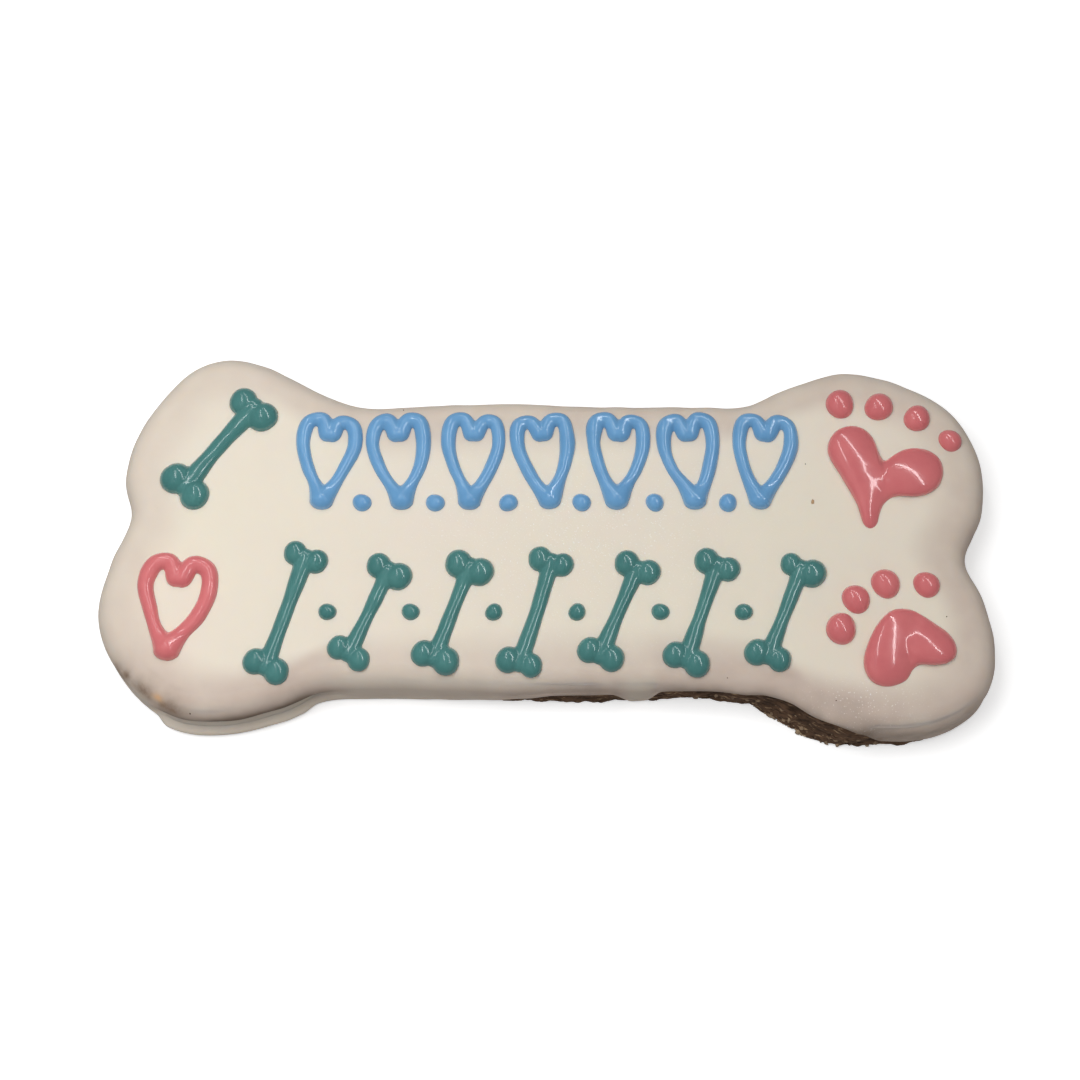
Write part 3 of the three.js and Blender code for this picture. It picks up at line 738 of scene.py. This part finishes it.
def piped_stroke(path, rise=STROKE_RISE):
    """An arch carried along a smooth path of [x, y, half width], rounded off at both ends. A section is a
    half ellipse above the coat and a shallow one sunk in it, and its width wavers with noise."""
    line = hand_curve(path, STROKE_STEPS)
    along = np.gradient(line[:, :2], axis=0)
    along /= np.linalg.norm(along, axis=1, keepdims=True)
    cell, waver = STROKE_UNEVEN
    line[:, 2] *= 1 + waver * lattice_noise(line * [1, 1, 0], cell, seed=41)
    turn = np.linspace(CAP_START, np.pi / 2, CAP_ROWS, endpoint=False)
    share = np.concatenate([np.sin(turn), np.ones(len(line)), np.sin(turn[::-1])])[:, None]
    shift = np.concatenate([-np.cos(turn), np.zeros(len(line)), np.cos(turn[::-1])])[:, None]
    k = np.clip(np.arange(len(share)) - CAP_ROWS, 0, len(line) - 1)
    width = line[k, 2:]
    middle = line[k, :2] + along[k] * shift * width
    angle = np.linspace(0, 2 * np.pi, STROKE_SIDES, endpoint=False)
    across = width * share * np.cos(angle)
    x, y = middle[:, :1] + along[k, 1:] * across, middle[:, 1:] - along[k, :1] * across
    up = np.where(np.sin(angle) > 0, width * rise, STROKE_DEPTH) * share * np.sin(angle)
    return stacked(x, y, coat_top(x, y) - STROKE_SINK + up)


def placed(points, x, y, tilt):
    """A motif's own [x, y, thickness] points moved to their place and turned by a tilt in degrees."""
    c, s = np.cos(np.radians(tilt)), np.sin(np.radians(tilt))
    px, py, thickness = np.array(points, float).T
    return stacked(x + c * px - s * py, y + s * px + c * py, thickness * STROKE_HALF_WIDTH)


def heart_strokes(x, y, tilt, size, hand, thickness=1):
    """The two strokes of an open heart: the right half's path, and the same path mirrored, both wandering
    a little between their ends as the hand did."""
    half = np.array(HEART_HALF) * [size[0], size[1], thickness]
    wander = hand.uniform(-1, 1, (2, *half.shape)) * HAND_WANDER
    wander[:, [0, -1]] = 0
    halves = [(half + step) * [side, 1, 1] for side, step in zip((1, -1), wander)]
    return [piped_stroke(placed(path, x, y, tilt)) for path in halves]


def melded(name, strokes, smoothing=MELD_SMOOTHING):
    """Strokes or pools of wet icing run together into one skin, by a fine voxel remesh that is smoothed."""
    piece = closed_surface(name, strokes)
    remesh = piece.modifiers.new("meld", "REMESH")
    remesh.mode = "VOXEL"
    remesh.voxel_size = MELD_VOXEL * MM
    remesh.use_smooth_shade = True
    relax = piece.modifiers.new("relax", "SMOOTH")
    relax.iterations = smoothing
    return piece


def piping_material(name, colour, deep):
    """Glossy coloured icing: the colour deepens in soft patches, under a thin clear gloss."""
    constants = {
        "Subsurface Weight": 0.12,
        "Subsurface Radius": (0.8, 0.8, 0.8),
        "Subsurface Scale": 0.7 * MM,
        "IOR": 1.47,
        "Coat Weight": 0.8,
        "Coat Roughness": 0.06,
    }
    material, tree, shader = new_material(name, constants)
    tone = mottled(tree, size=4.0, contrast=2.5, first=colour, second=deep)
    tree.links.new(tone["Color"], shader.inputs["Base Color"])
    relief = place_group(
        tree, set_icing_relief, {"Wave Size": 2.4, "Wave": 0.01, "Grain": 0.0004, "Pinholes": 0.012}
    )
    dullness = scaled(tree, tone["Mask"], times=0.06, plus=0.17)
    tree.links.new(dullness, shader.inputs["Roughness"])
    bump_surface(tree, shader, relief["Height"])
    return material


def finish_piping(piece, material, node):
    """A piped piece gets its icing and goes in a CAD node's place."""
    piece.data.materials.append(material)
    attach(piece, "root")
    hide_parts(node)


blue_piping = piping_material("blue_piping", PIPING_BLUE, PIPING_BLUE_DEEP)
hand_rng = np.random.default_rng(seed=12)
for i, tilt in enumerate(HEART_TILTS):
    strokes = heart_strokes(HEART_X + i * HEART_PITCH, HEART_Y, tilt, HEART_SIZE, hand_rng)
    finish_piping(melded(f"piped_heart_{i + 1}", strokes), blue_piping, f"heart_{i + 1}")


# Blue beads: single squeezes of the same icing in the gaps between the hearts' tips. Each is a low dome
# that sagged a little to one side.
BLUE_BEAD_Y = 6.3
BLUE_BEAD_RADIUS = 1.6
BEAD_RISE = 0.9
DOT_ROWS = 22
DOT_STEPS = 44
DOT_SAG = 0.05
DOT_OVAL, DOT_THREE_SIDED = 0.045, 0.02
LEAN_CELL, LEAN_TURN = 1.7, 6.28


def squeezed_dots(dots, rise):
    """Round domes at [x, y, radius]: a quarter turn of rows above the coat and a short foot in it. A dome
    is a little oval and three-sided, and its crown leans to one side, which noise at its place picks."""
    dots = np.array(dots, float)
    x, y, radius = (v[:, None, None] for v in dots.T)
    lean = LEAN_TURN * lattice_noise(dots * [1, 1, 0], LEAN_CELL, seed=51)[:, None, None]
    turn = np.linspace(0, 2 * np.pi, DOT_STEPS, endpoint=False)[None, None]
    arch = np.linspace(0, np.pi / 2, DOT_ROWS)[None, :-1, None]
    uneven = 1 + DOT_OVAL * np.cos(2 * turn + lean) + DOT_THREE_SIDED * np.cos(3 * turn - lean)
    out = radius * np.cos(arch) * uneven
    sag = DOT_SAG * radius * np.sin(arch)
    px = x + out * np.cos(turn) + sag * np.cos(lean)
    py = y + out * np.sin(turn) + sag * np.sin(lean)
    dome = stacked(px, py, coat_top(px, py) - STROKE_SINK + radius * rise * np.sin(arch))
    foot = dome[:, :1] * [1, 1, 0] + [0, 0, 1] * (coat_top(x, y) - STROKE_DEPTH)[..., None]
    return np.concatenate([foot, dome], 1)


blue_dots = [
    [HEART_X + (i + 0.5) * HEART_PITCH, BLUE_BEAD_Y, BLUE_BEAD_RADIUS] for i in range(len(HEART_TILTS) - 1)
]
blue_beads = closed_surface("blue_beads", squeezed_dots(blue_dots, BEAD_RISE))
finish_piping(blue_beads, blue_piping, "icing_coat")


# The row of leaning bones: green icing, one thin bar with two knobs squeezed at each end.
BONE_X = -43.6
BONE_PITCH = 14
BONE_Y = -12.9
BONE_LENGTHS = [24, 20, 21, 22.5, 20.5, 21.5, 20.5]
BONE_TILTS = [-18, -24, -20, -17, -23, -19, -22]
KNOB_RADIUS = 2.15
KNOB_SPREAD = 1.9
KNOB_RISE = 0.8
KNOB_SIZES = [0.9, 1.06]
KNOB_HALF, KNOB_SLANT = 0.2, 0.1
BAR_MIDDLE, BAR_FLARE = 0.95, 0.35
BONE_WANDER = 0.3
GREEN_BEAD_RADIUS = 1.5
LARGE_BONE = {"x": -56, "y": 16.3, "tilt": -38, "length": 23, "thickness": 1.15}
PIPING_GREEN = (0.076, 0.235, 0.222, 1)
PIPING_GREEN_DEEP = (0.056, 0.195, 0.187, 1)


def bone_strokes(x, y, tilt, length, hand, thickness=1):
    """A bone's bar, which fattens towards its ends, and its four knobs, each a stroke almost too short
    to have a direction, as large and as far out as the hand made it."""
    reach = length / 2 - KNOB_RADIUS * thickness
    bar = [[0, end * reach, thickness * (BAR_MIDDLE + BAR_FLARE * end * end)] for end in (-1, 0, 1)]
    bar[1][0] += hand.uniform(-BONE_WANDER, BONE_WANDER)
    knobs = []
    for across in (-1, 1):
        for end in (-1, 1):
            knob = KNOB_RADIUS / STROKE_HALF_WIDTH * thickness * hand.uniform(*KNOB_SIZES)
            side, up = KNOB_SPREAD * thickness, reach + hand.uniform(-BONE_WANDER, BONE_WANDER)
            start = [across * side, end * (up - KNOB_HALF), knob]
            knobs.append([start, [across * (side + KNOB_SLANT), end * (up + KNOB_HALF), knob]])
    return [piped_stroke(placed(path, x, y, tilt), KNOB_RISE) for path in [bar, *knobs]]


green_piping = piping_material("green_piping", PIPING_GREEN, PIPING_GREEN_DEEP)
for i, (length, tilt) in enumerate(zip(BONE_LENGTHS, BONE_TILTS)):
    strokes = bone_strokes(BONE_X + i * BONE_PITCH, BONE_Y, tilt, length, hand_rng)
    finish_piping(melded(f"piped_bone_{i + 1}", strokes), green_piping, f"bone_{i + 1}")
large_bone = melded("piped_large_bone", bone_strokes(**LARGE_BONE, hand=hand_rng))
finish_piping(large_bone, green_piping, "large_bone")


# Green beads: single squeezes between the bones, at the middle of the row.
green_dots = [
    [BONE_X + (i + 0.5) * BONE_PITCH, BONE_Y, GREEN_BEAD_RADIUS] for i in range(len(BONE_TILTS) - 1)
]
green_beads = closed_surface("green_beads", squeezed_dots(green_dots, BEAD_RISE))
finish_piping(green_beads, green_piping, "icing_coat")


# The large heart at the left: coral pink icing, two strokes as in the small hearts, but thicker.
LARGE_HEART = {"x": -62.4, "y": -11.7, "tilt": -7, "size": [10.8, 15.8], "thickness": 1.15}
PIPING_PINK = (0.71, 0.195, 0.200, 1)
PIPING_PINK_DEEP = (0.655, 0.165, 0.175, 1)
pink_piping = piping_material("pink_piping", PIPING_PINK, PIPING_PINK_DEEP)
large_heart = melded("piped_large_heart", heart_strokes(**LARGE_HEART, hand=hand_rng))
finish_piping(large_heart, pink_piping, "large_heart")


# The paw prints' pads: the same pink icing in two pools each, a long one and a short one that ran together
# beside it. Their edges stand up round and steep, and a soft valley stays where they meet.
PAD_RISES = [2.5, 2.4, 1.5]
LONG_POOL_LEAN = [-0.38, 0.0]
SHORT_POOL_LEAN = [-0.2, -0.5]
POOL_STEPS = 14
POOL_ROWS = 36
VALLEY_ROUNDING = 0.7
EVENING_TURNS = 90
LEAN_BLEND = 2
PAD_SMOOTHING = 50
# Outlines as [x, y]: a pad's long pool, its short one, and the line round both, which leaves them at the
# notches where they meet.
UPPER_LONG = [
    [52.9, 20.3], [50.5, 19.5], [48.9, 17.4], [48.7, 15.1], [50.9, 10.7], [53.2, 6.1], [54.4, 2.2],
    [55.5, 1.6], [56.6, 2.4], [57.2, 5.5], [57.9, 9.0], [58.3, 12.0], [57.7, 15.3], [56.6, 18.1],
    [55.0, 19.8],
]
UPPER_SHORT = [
    [59.9, 7.4], [63.7, 7.4], [65.8, 8.0], [67.6, 9.5], [68.4, 11.8], [68.0, 14.1], [66.5, 15.6],
    [64.0, 16.3], [60.5, 15.2], [57.9, 13.1], [57.0, 11.0], [57.6, 8.8],
]
UPPER_ROUND = [
    *UPPER_LONG[:9], [57.1, 4.2], [58.1, 6.2],
    *UPPER_SHORT[:8], [61.6, 15.9], [59.4, 14.6], [58.4, 13.9], [57.7, 14.9],
    *UPPER_LONG[13:],
]
UPPER_MIDDLE = [58.4, 10.9]
LOWER_LONG = [
    [60.3, -12.2], [58.5, -12.5], [56.8, -13.8], [55.1, -16.1], [53.3, -20.7], [53.4, -22.9],
    [54.5, -24.8], [56.2, -25.6], [57.9, -25.6], [59.8, -24.9], [61.3, -22.5], [61.9, -19.0],
    [62.1, -15.6], [61.7, -13.0],
]
LOWER_SHORT = [
    [63.4, -14.0], [61.2, -15.2], [60.1, -17.8], [60.8, -20.4], [62.7, -21.8], [65.1, -22.0],
    [67.4, -21.6], [68.9, -20.3], [68.9, -18.4], [67.7, -16.4], [65.6, -14.8],
]
LOWER_ROUND = [
    *LOWER_LONG[:9], [60.3, -24.6], [61.6, -22.7], [62.9, -21.9],
    *LOWER_SHORT[5:], [63.6, -13.4], [62.0, -12.5],
]
LOWER_MIDDLE = [61.0, -17.0]


def pool_height(x, y, outline):
    """How high a pool stands inside its outline, from 0 to 1: the root of h, where 1 / h is the sum over
    the outline's pieces of the angle that each is seen under, divided by its line's distance. Inside a
    circle that is half an ellipsoid. Outside, where the angles cancel out, it is 0."""
    ax, ay = outline[:-1, 0] - x[..., None], outline[:-1, 1] - y[..., None]
    bx, by = outline[1:, 0] - x[..., None], outline[1:, 1] - y[..., None]
    cross = ax * by - ay * bx
    seen = np.arctan2(cross, ax * bx + ay * by)
    spread = (seen / cross * np.hypot(bx - ax, by - ay)).sum(-1)
    height = np.where(np.abs(seen.sum(-1)) > np.pi, 1 / np.sqrt(spread), 0)
    return height / height.max()


def soft_maximum(first, second):
    """The larger of two heights, with the valley between them rounded by a short parabola."""
    close = np.clip(1 - np.abs(first - second) / VALLEY_ROUNDING, 0, 1)
    return np.maximum(first, second) + VALLEY_ROUNDING / 4 * close**2


def evened(height):
    """Heights on a grid drawn to the mean of their four neighbours, turn after turn, as wet icing settles.
    The outer row and the middle one stay."""
    for _ in range(EVENING_TURNS):
        beside = np.roll(height, 1, axis=1) + np.roll(height, -1, axis=1)
        height[1:-1] = (height[:-2] + height[2:] + beside[1:-1]) / 4
    return height


def pooled_pad(knots, middle):
    """A long and a short pool that ran together. Rows shrink from the outline round both to the middle. A
    point stands as high as the higher pool, or as a low one that fills the outline, and each leans over."""
    outlines = [hand_curve(part, POOL_STEPS, closed=True) for part in knots]
    bow = np.linspace(0, np.pi / 2, POOL_ROWS, endpoint=False)[:, None, None]
    flat = middle + (outlines[2][:-1] - middle) * np.cos(bow)
    x, y = flat[1:, :, 0], flat[1:, :, 1]
    long, short, both = (rise * pool_height(x, y, line) for rise, line in zip(PAD_RISES, outlines))
    height = np.zeros(flat.shape[:2])
    height[1:] = soft_maximum(soft_maximum(long, short), both)
    height = evened(height)
    in_long = np.zeros(height.shape)
    in_long[1:] = smooth_step(0.5 + (long - short) / LEAN_BLEND)
    lean = in_long[..., None] * LONG_POOL_LEAN + (1 - in_long[..., None]) * SHORT_POOL_LEAN
    x, y = (flat + lean * height[..., None]).transpose(2, 0, 1)
    pad = stacked(x, y, coat_top(x, y) - STROKE_SINK + height)
    return np.concatenate([pad[:1] - [0, 0, STROKE_DEPTH], pad])


for name, node, knots, middle in (
    ("upper_pad_icing", "upper_paw_pad", (UPPER_LONG, UPPER_SHORT, UPPER_ROUND), UPPER_MIDDLE),
    ("lower_pad_icing", "lower_paw_pad", (LOWER_LONG, LOWER_SHORT, LOWER_ROUND), LOWER_MIDDLE),
):
    pad = melded(name, [pooled_pad(knots, middle)], PAD_SMOOTHING)
    finish_piping(pad, pink_piping, node)


# The paw prints' toes: single squeezes of the pink icing, four in an arc over each pad. They are lower
# domes than the beads. Places are [x, y, radius].
TOE_RISE = 0.72
TOES = [
    [51.1, 24.2, 2.55], [57.8, 23.7, 2.5], [64.3, 21.6, 2.35], [69.8, 17.5, 2.0],
    [49.7, -15.8, 2.65], [52.4, -10.7, 2.43], [57.5, -8.0, 2.5], [64.4, -8.2, 2.25],
]
paw_toes = closed_surface("paw_toes", squeezed_dots(TOES, TOE_RISE))
finish_piping(paw_toes, pink_piping, "icing_coat")


# The studio, in metres: a wide pale floor, a soft light overhead to the left and a weak one low at the near
# right, two slim lights beyond the biscuit that draw the thin lines of light on the piping, and a pale
# surround.
FLOOR_HALF = 3.0
FLOOR_STEPS = 24
FLOOR_DROP = 0.02 * MM
FLOOR_WHITE = (0.90, 0.90, 0.90, 1)
FLOOR_SHADE = (0.87, 0.87, 0.87, 1)
FLOOR_BOUNCE = (0.50, 0.48, 0.46, 1)
FLOOR_GLOW = 0.45
SURROUND = 0.14
SURROUND_SEEN = 0.93
SLIM_HEIGHT = 0.55


def pale_floor():
    """A level square grid just under the biscuit. Seen directly it is near white and glows a little, and
    it throws less light back on the biscuit than a white card would."""
    line = np.linspace(-FLOOR_HALF, FLOOR_HALF, FLOOR_STEPS)
    x, y = np.meshgrid(line, line)
    corner = (np.arange(FLOOR_STEPS - 1)[:, None] * FLOOR_STEPS + np.arange(FLOOR_STEPS - 1)).ravel()
    faces = stacked(corner, corner + 1, corner + 1 + FLOOR_STEPS, corner + FLOOR_STEPS)
    mesh = bpy.data.meshes.new("pale_floor")
    mesh.from_pydata(stacked(x, y, -FLOOR_DROP).reshape(-1, 3), [], faces.tolist())
    constants = {"Roughness": 0.9, "Specular IOR Level": 0.1, "Emission Color": (1, 1, 1, 1)}
    material, tree, shader = new_material("pale_card", constants)
    tone = mottled(tree, size=300.0, contrast=1.0, first=FLOOR_WHITE, second=FLOOR_SHADE)
    seen = add_node(tree, "ShaderNodeLightPath", {}).outputs["Is Camera Ray"]
    tree.links.new(blend_colours(tree, seen, FLOOR_BOUNCE, tone["Color"]), shader.inputs["Base Color"])
    tree.links.new(calculate(tree, "MULTIPLY", seen, FLOOR_GLOW), shader.inputs["Emission Strength"])
    mesh.materials.append(material)
    return add_object("pale_floor", mesh)


pale_floor()


def panel_light(name, start, end, width, power, aim=(0, 0, 0)):
    """A flat rectangular light that runs from its start to its end and faces a point."""
    start, end, aim = Vector(start), Vector(end), Vector(aim)
    lamp = bpy.data.lights.new(name, "AREA")
    lamp.shape = "RECTANGLE"
    lamp.size, lamp.size_y = (end - start).length, width
    lamp.energy = power
    light = add_object(name, lamp)
    along = (end - start).normalized()
    away = (start + end) / 2 - aim
    away = (away - along * away.dot(along)).normalized()
    turn = Matrix([along, away.cross(along), away]).transposed()
    light.matrix_world = Matrix.Translation((start + end) / 2) @ turn.to_4x4()
    light.visible_camera = False
    return light


soft_start, soft_end = (-0.23, -0.02, 0.30), (-0.01, -0.02, 0.30)
soft_aim, fill_aim = (-0.12, -0.02, 0), (0.06, -0.03, 0)
soft_light = panel_light("soft_overhead", soft_start, soft_end, width=0.22, power=0.70, aim=soft_aim)
soft_light.visible_glossy = False
fill_start, fill_end = (0.13, -0.21, 0.07), (0.21, -0.13, 0.07)
fill_light = panel_light("soft_fill", fill_start, fill_end, width=0.08, power=0.034, aim=fill_aim)
fill_light.visible_glossy = False
slim_start, slim_end = (-0.161, 0.871, SLIM_HEIGHT), (0.39, -0.108, SLIM_HEIGHT)
panel_light("slim_right", slim_start, slim_end, width=0.032, power=1.22)
slim_start, slim_end = (-0.255, 0.56, SLIM_HEIGHT), (-0.07, 0.07, SLIM_HEIGHT)
panel_light("slim_left", slim_start, slim_end, width=0.024, power=0.36)

surround = bpy.data.worlds.new("pale_surround")
surround.use_nodes = True
backdrop = surround.node_tree.nodes["Background"]
seen = add_node(surround.node_tree, "ShaderNodeLightPath", {}).outputs["Is Camera Ray"]
backdrop.inputs["Color"].default_value = (1, 1, 1, 1)
strength = scaled(surround.node_tree, seen, times=SURROUND_SEEN - SURROUND, plus=SURROUND)
surround.node_tree.links.new(strength, backdrop.inputs["Strength"])
bpy.context.scene.world = surround


# The camera: it looks down steeply from the near side, so that the biscuit's near edge just shows. Its
# view transform leaves the colours as they are lit.
CAMERA_ELEVATION = 74.0
CAMERA_DISTANCE = 340 * MM
CAMERA_AIM = np.array([0.25, -1.62, 11.0]) * MM
CAMERA_LENS = 66.73
CAMERA_SENSOR = 36.0
CAMERA_SHIFT = [-0.0060, 0.0074]
lens = bpy.data.cameras.new("camera")
lens.lens = CAMERA_LENS
lens.sensor_width = CAMERA_SENSOR
lens.shift_x, lens.shift_y = CAMERA_SHIFT
lens.clip_start, lens.clip_end = 0.01, 20.0
camera = add_object("camera", lens)
steep = np.radians(CAMERA_ELEVATION)
camera.location = CAMERA_AIM + CAMERA_DISTANCE * np.array([0, -np.cos(steep), np.sin(steep)])
camera.rotation_euler = (np.pi / 2 - steep, 0, 0)
bpy.context.scene.camera = camera
bpy.context.scene.view_settings.view_transform = "Standard"
